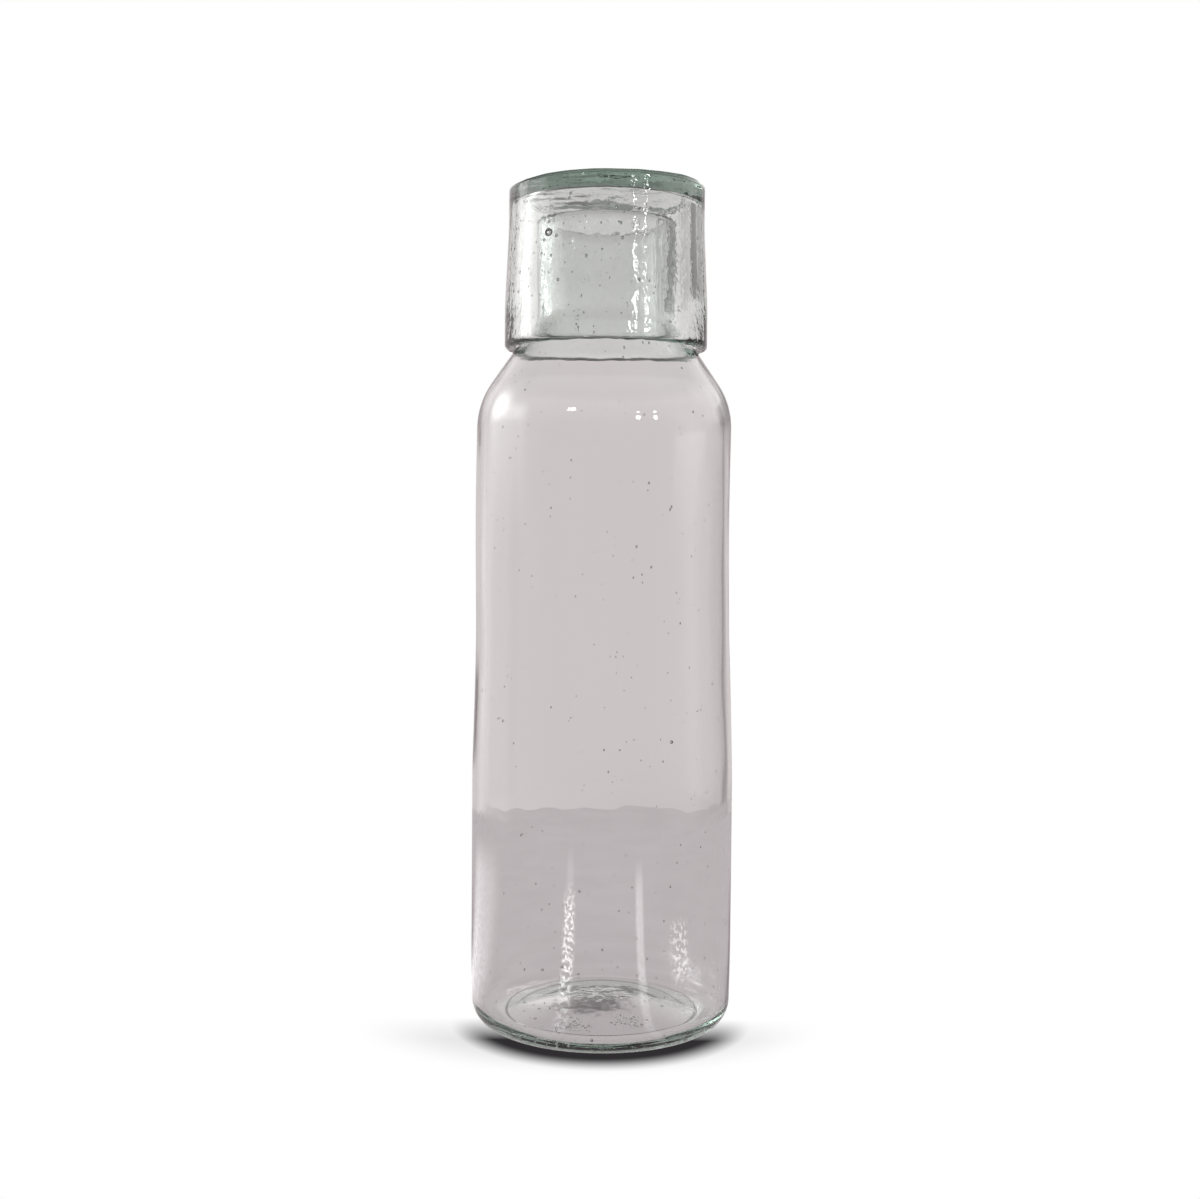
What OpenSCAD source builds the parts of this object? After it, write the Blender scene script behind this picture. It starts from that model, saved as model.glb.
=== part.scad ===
// Bedside water carafe of thick hand-blown glass. Its tumbler is turned over the
// neck as a cover and rests with its rim on the sloping shoulder.
// +Z is up, and the origin is the centre of the ring that the carafe stands on.

/* [Carafe body] */
// Diameter just above the rounded heel
foot_d = 80; // [72:0.5:90]
// Diameter of the widest stretch, low on the body
belly_d = 80.8; // [72:0.1:92]
// Diameter of the slimmer upper body
chest_d = 78.4; // [70:0.1:90]
// Height over which the foot widens to the belly
foot_h = 22; // [16:1:40]
// Height of the widest stretch
belly_h = 58; // [40:1:90]
// Height over which the belly draws in to the chest
draw_h = 42; // [25:1:60]
// Height of the straight chest, up to the corner of the shoulder
chest_h = 69.8; // [50:0.1:110]
// Thickness of the body's wall
body_wall = 2.7; // [2:0.1:4]
// How far to each side of a bend one stretch of the body blends into the next
side_blend = 5; // [2:0.5:6]

/* [Shoulder and neck] */
// Lean of the shoulder away from upright, in degrees
shoulder_lean = 34.5; // [28:0.5:42]
// Radius of the bend from the chest to the shoulder
shoulder_r = 24; // [12:1:30]
// Outer diameter of the neck
neck_d = 42.8; // [36:0.2:48]
// Height of the neck, from the corner under it to the top of its lip
neck_h = 29.5; // [22:0.5:40]
// Thickness of the neck's wall
neck_wall = 3; // [2.2:0.1:4]
// Radius of the hollow curve where the neck leaves the shoulder
neck_fillet_r = 8; // [4:0.5:12]

/* [Carafe base] */
// Outer radius of the rounded heel
heel_r = 8; // [5:0.5:9.5]
// Width of the flat ring that the carafe stands on
stand_ring_w = 2; // [1.5:0.1:4]
// Height of the hollow pushed up under the base
punt_rise = 5.6; // [3:0.1:6.4]
// Glass under the inside floor, at the foot of the wall
floor_t = 4.6; // [4:0.1:8]
// How far the inside floor rises to its middle
floor_rise = 5; // [3:0.1:8]
// Radius of the inside corner between the floor and the wall
floor_corner_r = 3.5; // [2:0.5:8]

/* [Tumbler] */
// Thickness of the tumbler's wall
tumbler_wall = 3.4; // [2.6:0.1:4.4]
// Thickness of the tumbler's heavy foot, which is its top while it covers the carafe
tumbler_foot_t = 6.4; // [4:0.1:9]
// Radius of the foot's rounded outer edge
tumbler_edge_r = 2; // [1.2:0.1:5]
// Radius of the corner inside, between the wall and the foot
tumbler_corner_r = 1; // [0.5:0.5:6]
// Depth of the shallow hollow in the foot's outer face
tumbler_kick = 0.6; // [0.3:0.1:1.2]
// Width of the foot's flat ring around that hollow
tumbler_ring_w = 3; // [2:0.5:6]
// Height of the widest band, next to the rim
tumbler_band_h = 14; // [8:0.5:16]
// Height of the straight stretch next to the foot, counted from its outer face
tumbler_shank_h = 14.6; // [12:0.1:16]
// How much smaller the radius is at the foot than at the rim
tumbler_draw_in = 1.1; // [0.4:0.1:2]
// How far to each side of a bend one stretch of the tumbler's side blends into the next
tumbler_blend = 4; // [2:0.5:5]

/* [Fit] */
// Gap between the neck and the inside of the tumbler's rim
neck_gap = 6.4; // [5:0.1:8]
// Gap between the carafe's lip and the inside of the tumbler's foot
head_gap = 5.9; // [5:0.1:10]
// Running gap left where the rim rests on the shoulder
seat_gap = 0.3; // [0.2:0.05:0.5]

/* [Smoothness] */
// Facets around each piece
round_facets = 96; // [48:8:160]
// Straight steps along each bend of a profile
bend_steps = 8; // [4:1:12]

/* [Hidden] */

// The lip and the rim are rounded almost fully, which leaves a narrow flat on top
lip_round_share = 0.46;
lip_r = lip_round_share * neck_wall;
rim_r = lip_round_share * tumbler_wall;

// Heights on the carafe, from its standing ring up
belly_z = foot_h;
draw_z = belly_z + belly_h;
chest_z = draw_z + draw_h;
shoulder_z = chest_z + chest_h;
neck_z = shoulder_z + (chest_d - neck_d) / 2 / tan(shoulder_lean);
lip_z = neck_z + neck_h;
// At the two bends of the shoulder this is how much lower the bend lies inside a wall,
// for each unit of wall, and how far it reaches to each side, for each unit of radius
bend_share = tan(shoulder_lean / 2);

// The tumbler's sizes follow the neck that it covers
rim_outer_r = neck_d / 2 + neck_gap + tumbler_wall;
foot_outer_r = rim_outer_r - tumbler_draw_in;
// The rim's inner bend touches the shoulder first, and its centre stands at this radius
rim_bend_r = rim_outer_r - tumbler_wall + rim_r;
slope_r = rim_bend_r - (rim_r + seat_gap) / cos(shoulder_lean);
seat_z = shoulder_z + (chest_d / 2 - slope_r) / tan(shoulder_lean) - rim_r;
tumbler_h = lip_z + head_gap + tumbler_foot_t - seat_z;

function unit(v) = v / norm(v);

// Points of the arc that rounds the corner p between a and b, and that leaves both
// sides at the distance reach from the corner. Round a square corner that is its radius.
function bend(a, p, b, reach) =
    let (
        u = unit(a - p),
        v = unit(b - p),
        half = acos(u * v) / 2,
        r = reach * tan(half),
        centre = p + unit(u + v) * reach / cos(half),
        from = p + u * reach - centre,
        to = p + v * reach - centre,
        start = atan2(from.y, from.x),
        sweep = (atan2(to.y, to.x) - start + 540) % 360 - 180
    )
    [for (i = [0:bend_steps]) centre + r * [
        cos(start + sweep * i / bend_steps),
        sin(start + sweep * i / bend_steps)
    ]];

// Each corner is [radius, height, reach of its bend]. The first and the last stay sharp,
// and so does a corner whose reach is zero.
function rounded(corners) = [
    for (i = [0:len(corners) - 1])
        let (c = corners[i], p = [c[0], c[1]])
        each i == 0 || i == len(corners) - 1 || c[2] == 0 ? [p] :
            bend([corners[i - 1][0], corners[i - 1][1]], p,
                 [corners[i + 1][0], corners[i + 1][1]], c[2])
];

// A dome that rises to its middle and ends in a clear edge, from the axis outwards
function dome(edge_r, base_z, rise) = [
    for (i = [0:2 * bend_steps])
        [edge_r * i / (2 * bend_steps), base_z + rise * cos(45 * i / bend_steps)]
];

// A swell that runs out smoothly at its edge, from the edge to the axis
function swell(edge_r, base_z, rise) = [
    for (i = [2 * bend_steps:-1:0])
        [edge_r * i / (2 * bend_steps), base_z + rise * (1 + cos(90 * i / bend_steps)) / 2]
];

// The side of the carafe at a distance w inside its outer face, heel to lip
function carafe_side(w, neck_w) = [
    [belly_d / 2 - w, belly_z, side_blend],
    [belly_d / 2 - w, draw_z, side_blend],
    [chest_d / 2 - w, chest_z, side_blend],
    [chest_d / 2 - w, shoulder_z - w * bend_share, (shoulder_r - w) * bend_share],
    [neck_d / 2 - neck_w, neck_z - neck_w * bend_share, (neck_fillet_r + neck_w) * bend_share]
];

function reversed(list) = [for (i = [len(list) - 1:-1:0]) list[i]];

module carafe() {
    punt_r = foot_d / 2 - heel_r - stand_ring_w;
    inner_foot_r = foot_d / 2 - body_wall;
    outer = rounded(concat(
        [[punt_r, 0, 0], [foot_d / 2, 0, heel_r]],
        carafe_side(0, 0),
        [
            [neck_d / 2, lip_z, lip_r],
            [neck_d / 2 - neck_wall, lip_z, lip_r]
        ],
        reversed(carafe_side(body_wall, neck_wall)),
        [
            [inner_foot_r, floor_t, floor_corner_r],
            [inner_foot_r - floor_corner_r, floor_t, 0]
        ]
    ));
    color([0.80, 0.84, 0.83, 0.5])
        rotate_extrude($fn = round_facets)
            polygon(concat(
                dome(punt_r, 0, punt_rise),
                outer,
                reversed(dome(inner_foot_r - floor_corner_r, floor_t, floor_rise))
            ));
}

// The side of the tumbler at a distance w inside its outer face, rim to foot
function tumbler_side(w) = [
    [rim_outer_r - w, tumbler_band_h, tumbler_blend],
    [foot_outer_r - w, tumbler_h - tumbler_shank_h, tumbler_blend]
];

module tumbler() {
    ring_r = foot_outer_r - tumbler_edge_r - tumbler_ring_w;
    inside_z = tumbler_h - tumbler_foot_t;
    wall = rounded(concat(
        [[0, inside_z, 0], [foot_outer_r - tumbler_wall, inside_z, tumbler_corner_r]],
        reversed(tumbler_side(tumbler_wall)),
        [
            [rim_outer_r - tumbler_wall, 0, rim_r],
            [rim_outer_r, 0, rim_r]
        ],
        tumbler_side(0),
        [
            [foot_outer_r, tumbler_h, tumbler_edge_r],
            [ring_r, tumbler_h, 0]
        ]
    ));
    color([0.74, 0.81, 0.78, 0.55])
        translate([0, 0, seat_z])
            rotate_extrude($fn = round_facets)
                polygon(concat(wall, swell(ring_r, tumbler_h, -tumbler_kick)));
}

carafe();
tumbler();
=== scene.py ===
import math
from collections import namedtuple

import bpy
from bpy.props import FloatProperty, FloatVectorProperty, IntProperty, PointerProperty
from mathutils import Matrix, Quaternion, Vector


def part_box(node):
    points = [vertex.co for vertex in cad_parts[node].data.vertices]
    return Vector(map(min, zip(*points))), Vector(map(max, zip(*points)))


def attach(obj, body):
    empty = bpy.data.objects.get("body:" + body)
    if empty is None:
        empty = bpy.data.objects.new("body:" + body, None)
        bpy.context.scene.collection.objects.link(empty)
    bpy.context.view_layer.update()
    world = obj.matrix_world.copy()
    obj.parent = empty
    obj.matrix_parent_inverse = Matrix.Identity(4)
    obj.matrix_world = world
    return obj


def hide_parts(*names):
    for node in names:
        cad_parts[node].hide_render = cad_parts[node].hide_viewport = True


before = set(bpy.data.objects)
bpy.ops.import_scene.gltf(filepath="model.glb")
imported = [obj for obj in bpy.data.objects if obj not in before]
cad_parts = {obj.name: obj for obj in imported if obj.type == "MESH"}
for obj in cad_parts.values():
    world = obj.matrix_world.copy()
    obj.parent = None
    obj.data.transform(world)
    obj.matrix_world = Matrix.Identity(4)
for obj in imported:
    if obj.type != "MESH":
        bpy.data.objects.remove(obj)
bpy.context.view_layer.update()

bl_info = {
    "name": "Bedside Carafe with Tumbler",
    "version": (1, 0, 0),
    "blender": (4, 5, 0),
    "location": "View3D > Sidebar > Carafe",
    "description": "A water carafe of seeded blown glass, and the tumbler that covers its neck",
    "category": "Add Mesh",
}

WHITE = (1.0, 1.0, 1.0)
CARAFE_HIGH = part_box("carafe")[1]
TUMBLER_LOW, TUMBLER_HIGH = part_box("tumbler")


def length(name, description, default):
    """A property that holds a size in metres."""
    return FloatProperty(
        name=name, description=description, default=default, min=0.0, precision=5, unit="LENGTH"
    )


def share(name, description, default):
    """A property that holds a plain number, such as a share, a strength or a count per area."""
    return FloatProperty(name=name, description=description, default=default, min=0.0)


def turn(name, description, degrees):
    """A property that holds an angle."""
    return FloatProperty(
        name=name, description=description, default=math.radians(degrees), unit="ROTATION"
    )


def place(name, description, default):
    """A property that holds a point in metres."""
    return FloatVectorProperty(
        name=name, description=description, default=default, size=3, subtype="XYZ", unit="LENGTH"
    )


def tint(name, description, default):
    """A property that holds a colour."""
    return FloatVectorProperty(
        name=name, description=description, default=default, size=3, min=0.0, subtype="COLOR"
    )


class CarafeSizes(bpy.types.PropertyGroup):
    """Driving sizes of the carafe"""

    foot_radius: length("Foot Radius", "Radius just above the rounded heel", 0.040)
    chest_radius: length("Chest Radius", "Radius of the slimmer upper body", 0.0392)
    foot_height: length("Foot Height", "Height over which the foot widens to the belly", 0.022)
    belly_height: length("Belly Height", "Height of the widest stretch", 0.058)
    draw_height: length("Draw Height", "Height over which the belly draws in", 0.042)
    chest_height: length("Chest Height", "Height of the straight chest", 0.0698)
    body_wall: length("Body Wall", "Thickness of the body's wall", 0.0027)
    side_blend: length("Side Blend", "Reach of the soft bends in the body's side", 0.005)
    shoulder_lean: turn("Shoulder Lean", "Lean of the shoulder away from upright", 34.5)
    shoulder_radius: length("Shoulder Radius", "Radius of the bend into the shoulder", 0.024)
    neck_radius: length("Neck Radius", "Outer radius of the neck", 0.0214)
    neck_wall: length("Neck Wall", "Thickness of the neck's wall", 0.003)
    neck_fillet: length("Neck Fillet", "Radius of the hollow curve under the neck", 0.008)
    heel_radius: length("Heel Radius", "Radius of the rounded heel", 0.008)
    ring_width: length("Ring Width", "Width of the ring that it stands on", 0.002)
    punt_rise: length("Punt Rise", "Height of the hollow pushed up under the base", 0.0056)
    floor_thickness: length("Floor Thickness", "Glass under the floor, at the wall", 0.0046)
    floor_rise: length("Floor Rise", "How far the inside floor rises to its middle", 0.005)
    floor_corner: length("Floor Corner", "Radius between the floor and the wall", 0.0035)
    bow: length("Bow", "How far the chest leans off the axis", 0.0006)
    bow_height: length("Bow Height", "Height at which it leans the most", 0.155)
    bow_reach: length("Bow Reach", "Distance over which the lean dies out", 0.035)


class TumblerSizes(bpy.types.PropertyGroup):
    """Driving sizes of the tumbler"""

    wall: length("Wall", "Thickness of the wall at the rim", 0.0034)
    thick_wall: length("Thick Wall", "Thickness above the band, which thins to the rim", 0.005)
    foot_thickness: length("Foot Thickness", "Thickness of the heavy foot", 0.0064)
    foot_tilt: turn("Foot Tilt", "How far the foot's outer face leans to the left", 1.45)
    edge_radius: length("Edge Radius", "Radius of the foot's rounded outer edge", 0.002)
    corner_radius: length("Corner Radius", "Radius inside, between wall and foot", 0.001)
    kick: length("Kick", "Depth of the hollow in the foot's outer face", 0.0006)
    ring_width: length("Ring Width", "Width of the foot's flat ring", 0.003)
    band_height: length("Band Height", "Height of the widest band, next to the rim", 0.014)
    shank_height: length("Shank Height", "Straight stretch next to the foot", 0.0146)
    draw_in: length("Draw In", "How much smaller the radius is at the foot", 0.0011)
    blend: length("Blend", "Reach of the soft bends in the side", 0.004)


class BlownGlass(bpy.types.PropertyGroup):
    """What blowing by hand leaves in the glass"""

    profile_step: length("Profile Step", "Longest step along the carafe's profile", 0.0022)
    tumbler_step: length("Tumbler Step", "Longest step along the tumbler's profile", 0.0011)
    base_step: length("Base Step", "Longest step along the hollow under the base", 0.0008)
    bend_step: length("Bend Step", "Longest step along a bend", 0.0006)
    round_segments: IntProperty(
        name="Round Segments", description="Faces around each piece", default=192, min=24
    )
    lip_round_share: share("Lip Round Share", "Radius of a lip as a share of its wall", 0.46)
    ring_round: length("Ring Round", "Rounding where the pushed-up hollow starts", 0.0012)
    swell_width: length("Swell Width", "Width of the broad waves in the wall", 0.032)
    swell_depth: length("Swell Depth", "Depth of the broad waves", 0.00030)
    ripple_width: length("Ripple Width", "Width of the fine waves", 0.0062)
    ripple_depth: length("Ripple Depth", "Depth of the fine waves", 0.000085)
    ripple_stretch: share("Ripple Stretch", "How much longer than wide the waves are", 4.0)
    outside_ripple: share("Outside Ripple", "Strength of the waves on the outer face", 0.35)
    foot_ripple: share("Foot Ripple", "Strength of the waves on the tumbler's foot", 4.5)
    scar_radius: length("Scar Radius", "Radius of the scar of the blowing iron", 0.0105)
    scar_edge: share("Scar Edge", "How abruptly the scar ends at its edge", 4.0)
    ragged_width: length("Ragged Width", "Width of the bumps of a broken or cut edge", 0.0024)
    ragged_depth: length("Ragged Depth", "Depth of those bumps", 0.0007)
    rim_raggedness: share("Rim Raggedness", "How ragged the tumbler's rim is", 1.4)
    seed_count: share("Seed Count", "Seeds to a square metre of the glass's faces", 3600.0)
    tumbler_seed_count: share("Tumbler Seed Count", "The same in the tumbler", 14000.0)
    tumbler_seed_growth: share("Tumbler Seed Growth", "How much larger its seeds are", 1.35)
    base_seed_count: share("Base Seed Count", "What the carafe's base has more", 8000.0)
    base_seed_reach: share("Base Seed Reach", "How many floor heights up they thin out", 2.0)
    cluster_count: share("Cluster Count", "What two clusters in the base have more", 3000000.0)
    cluster_fade: share("Cluster Fade", "How fast the clusters thin out to their edge", 2.0)
    cluster_left: place("Left Cluster", "Middle of one cluster", (-0.0075, -0.026, 0.008))
    cluster_right: place("Right Cluster", "Middle of the other", (0.0085, -0.023, 0.008))
    cluster_radius: length("Cluster Radius", "Radius of the clusters", 0.007)
    seed_small: length("Smallest Seed", "Radius of the smallest seeds", 0.00014)
    seed_rarity: share("Seed Rarity", "How much rarer large seeds are than small ones", 2.3)
    seed_large: length("Largest Seed", "Radius of the largest seeds", 0.00036)
    base_seed_growth: share("Base Seed Growth", "How much larger seeds in the base are", 0.8)
    seed_cover: length("Seed Cover", "Glass between the seeds and a face", 0.00035)
    seed_stretch: share("Seed Stretch", "How much longer than wide the seeds are", 1.3)
    carafe_draw: IntProperty(
        name="Carafe Draw", description="Number that the carafe's seeds are drawn from", default=3
    )
    tumbler_draw: IntProperty(
        name="Tumbler Draw", description="Number that the tumbler's seeds are drawn from", default=8
    )
    tumbler_waves: place("Tumbler Waves", "How far off in the noise its waves lie", (0.2, 0.1, 0.0))
    carafe_bubble: place("Carafe Bubble", "Its one large bubble", (0.0197, -0.0333, 0.0917))
    carafe_bubble_radius: length("Carafe Bubble Radius", "Its radius", 0.0005)
    tumbler_bubble: place("Tumbler Bubble", "Its one large bubble", (-0.0167, -0.0232, 0.2400))
    tumbler_bubble_radius: length("Tumbler Bubble Radius", "Its radius", 0.00125)


class GlassLook(bpy.types.PropertyGroup):
    """Colours and finish of the glass"""

    clear: tint("Clear", "What one face of the glass lets through", (0.99, 0.995, 0.992))
    green: tint("Green", "Colour of a thick stretch of glass", (0.62, 0.715, 0.665))
    carafe_density: share("Carafe Density", "Absorption in the carafe, to a metre", 45.0)
    tumbler_density: share("Tumbler Density", "Absorption in the tumbler, to a metre", 62.0)
    index: share("Index", "Refractive index", 1.5)
    chill_width: length("Chill Width", "Width of a cold tool's marks on the neck", 0.0011)
    chill_stretch: share("Chill Stretch", "How much longer than wide the marks are", 3.0)
    chill_depth: length("Chill Depth", "Depth of those marks on the neck", 0.00010)
    tumbler_chill_width: length("Tumbler Chill Width", "Their width on the tumbler", 0.0017)
    tumbler_chill_stretch: share("Tumbler Chill Stretch", "How much taller than wide they are there", 1.1)
    tumbler_chill: length("Tumbler Chill", "Their depth there", 0.0001)
    chill_patch: length("Chill Patch", "Width of the patches in which they lie", 0.006)
    chill_low: length("Chill Low", "Height at which the marks start", 0.2125)
    chill_full: length("Chill Full", "Height from which they have their full depth", 0.2225)
    smear_width: length("Smear Width", "Width of the faint smears of handling", 0.018)
    smear_roughness: share("Smear Roughness", "Roughness where the glass is smeared", 0.03)


class StageSizes(bpy.types.PropertyGroup):
    """The camera, the floor and the light"""

    eye: place("Eye", "Where the camera stands", (-0.00115, -0.496, 0.151))
    look_down: turn("Look Down", "How far the camera looks down", 2.237)
    roll: turn("Roll", "How far the camera is rolled", 0.486)
    lens: FloatProperty(name="Lens", description="Focal length", default=48.0, unit="CAMERA")
    sensor: FloatProperty(name="Sensor", description="Sensor width", default=36.0, unit="CAMERA")
    floor_size: length("Floor Size", "Radius of the pale floor", 6.0)
    table_size: length("Table Size", "Radius of the table under the carafe", 0.40)
    wall_colour: tint("Wall Colour", "The room's wall, seen through the glass", (0.70, 0.632, 0.645))
    front_colour: tint("Front Colour", "The room behind the camera", (0.40, 0.37, 0.38))
    ceiling_colour: tint("Ceiling Colour", "The room above", (0.10, 0.10, 0.10))
    ceiling_start: turn("Ceiling Start", "Elevation at which the wall starts to darken", 29)
    ceiling_full: turn("Ceiling Full", "Elevation from which it is as dark as the ceiling", 45)
    door_colour: tint("Door Colour", "What is dark in the room", (0.10, 0.08, 0.08))
    table_colour: tint("Table Colour", "The table, seen through the glass", (0.553, 0.491, 0.512))
    table_drop: length("Table Drop", "How far the table lies under the floor", 0.0002)
    table_mottle: share("Table Mottle", "How uneven the table's tone is", 0.16)
    mottle_width: length("Mottle Width", "Width of the patches of its tone", 0.024)
    table_wave: length("Table Wave", "How far the table's edge wavers", 0.009)
    streak_grain: length("Streak Grain", "Size of the bits of a broken glare", 0.007)
    # The base's shadow is painted into the floor's colour; no lamp casts it
    shadow_colour: tint("Shadow Colour", "The darkest part of the shadow", (0.030, 0.028, 0.030))
    shadow_core: length("Shadow Core", "Radius at which the shadow starts to fade", 0.0376)
    shadow_reach: length("Shadow Reach", "Radius at which the shadow has died out", 0.0508)
    shadow_place: place("Shadow Place", "Middle of the shadow", (-0.0002, 0.0, 0.0))
    shadow_back: length("Shadow Back", "How far behind the axis the shadow starts", 0.0005)
    shadow_front: length("Shadow Front", "How far in front of the axis it has its full depth", 0.021)
    # Faint, wider outer fringe of the painted shadow
    shadow_fringe_core: length("Shadow Fringe Core", "Radius at which its faint outer part starts to fade", 0.030)
    shadow_fringe_reach: length("Shadow Fringe Reach", "Radius at which that part has died out", 0.054)
    shadow_fringe_width: share("Shadow Fringe Width", "How much wider than deep that part is", 1.4)
    shadow_fringe_place: place("Shadow Fringe Place", "Middle of that part", (-0.004, -0.001, 0.0))
    shadow_fringe_share: share("Shadow Fringe Share", "Depth of that part", 0.23)
    # A patch of shade painted on the table under the base, with a broken edge
    under_shade: share("Under Shade", "How dark the table is under the base", 0.8)
    under_place: place("Under Place", "Middle of that shade", (-0.004, 0.011, 0.0))
    under_grain: length("Under Grain", "Size of the bits of its broken edge", 0.004)
    under_broken: length("Under Broken", "How far its edge wavers", 0.022)
    under_core: length("Under Core", "Radius at which that shade starts to fade", 0.006)
    under_reach: length("Under Reach", "Radius at which that shade has died out", 0.018)
    # A pool of light painted on the table, where the base would gather light and throw it down
    caught_place: place("Caught Place", "Middle of light that the base gathers", (-0.014, 0.0175, 0))
    caught_core: length("Caught Core", "Radius at which that light starts to fade", 0.004)
    caught_reach: length("Caught Reach", "Radius at which that light has died out", 0.016)
    caught_width: share("Caught Width", "How much wider than deep that light is", 1.3)
    caught_light: share("Caught Light", "Strength of that light", 0.9)
    window_share: share("Window Share", "What is left of a window straight behind the glass", 0.05)


# Something in the room round the object: azimuth and elevation of its middle, width, height
# and softness of its edge in degrees, and strength. Azimuth 0 is towards the camera, and
# negative is left.
Panel = namedtuple("Panel", "azimuth elevation width height softness strength")
# Their light is held back where it would show straight through both walls of a piece
WINDOWS = {
    "window": Panel(-114, 20, 18, 15, 8, 3.0),
    "curtain": Panel(-101, 14, 48, 18, 7, 1.9),
}
# Their light shows wherever the glass shows or mirrors the room
LIGHTS = {
    "window_low": Panel(-116, -3, 50, 15, 6, 0.34),
    "side_light": Panel(78, 9, 22, 14, 5, 0.2),
    "wall_high": Panel(180, 19, 120, 20, 6, 0.20),
}
# These show only where the outer face of the glass mirrors them
LAMPS = {
    "lamp_left": Panel(-30, 19, 7, 4, 1, 26.0),
    "lamp_right": Panel(30, 7.9, 3.5, 4.6, 0.8, 26.0),
    "lamp_right_high": Panel(30, 15.2, 3, 1.6, 0.5, 20.0),
    "lamp_far": Panel(46, 8.2, 3.5, 4.6, 0.8, 28.0),
    "lamp_far_high": Panel(46, 15.4, 3, 2, 0.5, 24.0),
}
# Their strength is how much of the wall they hide
DARKS = {
    "door": Panel(135, 9.5, 15, 12, 1, 0.98),
    "door_frame": Panel(152, 9.5, 20, 10, 2, 0.45),
    "low_left": Panel(173, -16, 16, 10, 4, 0.35),
    "low_right": Panel(-163, -16, 8, 10, 3, 0.35),
    "far_corner": Panel(122, -4, 52, 20, 6, 0.6),
}

# Where the direction's part along Y starts to leave the wall's tone, and where it has the
# tone of the room behind the camera
FRONT_START, FRONT_FULL = 0.3, -0.7

# A lamp's reflection painted on the table, which shows only where the glass's outer face mirrors the
# table: azimuth and width in degrees, nearest and farthest radius, strength, and how much of it is broken
# up
Glare = namedtuple("Glare", "azimuth width near far strength broken")
GLARES = {
    "left_streak": Glare(-25, 8, 0.080, 0.250, 11.0, 1.2),
    "left_streak_faint": Glare(-25, 5, 0.180, 0.340, 1.6, 0.2),
    "right_streak": Glare(30, 5.5, 0.075, 0.290, 5.0, 0.3),
    "right_bits": Glare(63, 15, 0.110, 0.190, 6.0, 2.8),
    "window_glare": Glare(-116, 38, 0.060, 0.300, 1.6, 0.3),
}
# Softness of a glare's edges, as a share of half its width or length
GLARE_SOFTNESS_SHARE = 0.5
# Noise at which a broken glare is darkest, and from which it is whole
GLARE_GAPS, GLARE_WHOLE = 0.42, 0.56

# Faces that light may cross, and mirrors that it may meet, on its way to the camera
MOST_CROSSINGS = 24
MOST_MIRRORS = 12


class CarafeScene(bpy.types.PropertyGroup):
    """All the groups of sizes"""

    carafe: PointerProperty(type=CarafeSizes)
    tumbler: PointerProperty(type=TumblerSizes)
    blown: PointerProperty(type=BlownGlass)
    look: PointerProperty(type=GlassLook)
    stage: PointerProperty(type=StageSizes)


# Points closer to each other than this are one point
SAME_POINT = 1e-6
FEWEST_BEND_STEPS = 4
# Subdivisions of the balls of air
SEED_ROUNDNESS = 1
BUBBLE_ROUNDNESS = 4

# What the points of a profile carry: how rippled, how seeded and how ragged the glass is
# there, and how strong the marks of a cold tool are
MARKS = ("ripple", "seeding", "raggedness", "chill")


def point(radius, height):
    """A point of a profile."""
    return Vector((radius, height))


def bend(before, corner, after, reach, step):
    """Points of the arc that rounds a corner and leaves both its sides at the distance reach."""
    back = (before - corner).normalized()
    on = (after - corner).normalized()
    half = math.acos(back.dot(on)) / 2
    radius = reach * math.tan(half)
    centre = corner + (back + on).normalized() * reach / math.cos(half)
    first = corner + back * reach - centre
    last = corner + on * reach - centre
    start = math.atan2(first.y, first.x)
    sweep = (math.atan2(last.y, last.x) - start + 3 * math.pi) % (2 * math.pi) - math.pi
    steps = max(FEWEST_BEND_STEPS, math.ceil(abs(sweep) * radius / step))
    angles = [start + sweep * i / steps for i in range(steps + 1)]
    return [centre + radius * point(math.cos(a), math.sin(a)) for a in angles]


def rounded(corners, step):
    """The outline through corners of (radius, height, reach of the bend)."""
    outline = []
    for i, (radius, height, reach) in enumerate(corners):
        corner = point(radius, height)
        if reach == 0 or i in (0, len(corners) - 1):
            outline.append(corner)
        else:
            before = point(*corners[i - 1][:2])
            after = point(*corners[i + 1][:2])
            outline += bend(before, corner, after, reach, step)
    return outline


def swell(edge_radius, base, rise, step):
    """A swell from its edge to the axis, which runs out smoothly at the edge."""
    steps = math.ceil(edge_radius / step)
    shares = [i / steps for i in range(steps, -1, -1)]
    return [
        point(edge_radius * s, base + rise * (1 + math.cos(math.pi * s)) / 2) for s in shares
    ]


def dome(edge_radius, base, rise, step):
    """A dome from the axis to its edge, where it ends at a slope."""
    steps = math.ceil(edge_radius / step)
    shares = [i / steps for i in range(steps + 1)]
    return [point(edge_radius * s, base + rise * math.cos(math.pi / 2 * s)) for s in shares]


def refined(outline, step):
    """The outline with its doubles left out and its long straight stretches split."""
    fine = [outline[0]]
    for end in outline[1:]:
        gap = end - fine[-1]
        if gap.length < SAME_POINT:
            continue
        start = fine[-1]
        steps = math.ceil(gap.length / step)
        fine += [start + gap * i / steps for i in range(1, steps + 1)]
    return fine


def carafe_side(sizes, wall, neck_wall):
    """The carafe's side at a distance inside its outer face, from the heel up to the neck."""
    belly = CARAFE_HIGH.x
    chest = sizes.chest_radius
    belly_z = sizes.foot_height
    draw_z = belly_z + sizes.belly_height
    chest_z = draw_z + sizes.draw_height
    shoulder_z = chest_z + sizes.chest_height
    neck_z = shoulder_z + (chest - sizes.neck_radius) / math.tan(sizes.shoulder_lean)
    slope = math.tan(sizes.shoulder_lean / 2)
    return [
        (belly - wall, belly_z, sizes.side_blend),
        (belly - wall, draw_z, sizes.side_blend),
        (chest - wall, chest_z, sizes.side_blend),
        (chest - wall, shoulder_z - wall * slope, (sizes.shoulder_radius - wall) * slope),
        (
            sizes.neck_radius - neck_wall,
            neck_z - neck_wall * slope,
            (sizes.neck_fillet + neck_wall) * slope,
        ),
    ]


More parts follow.
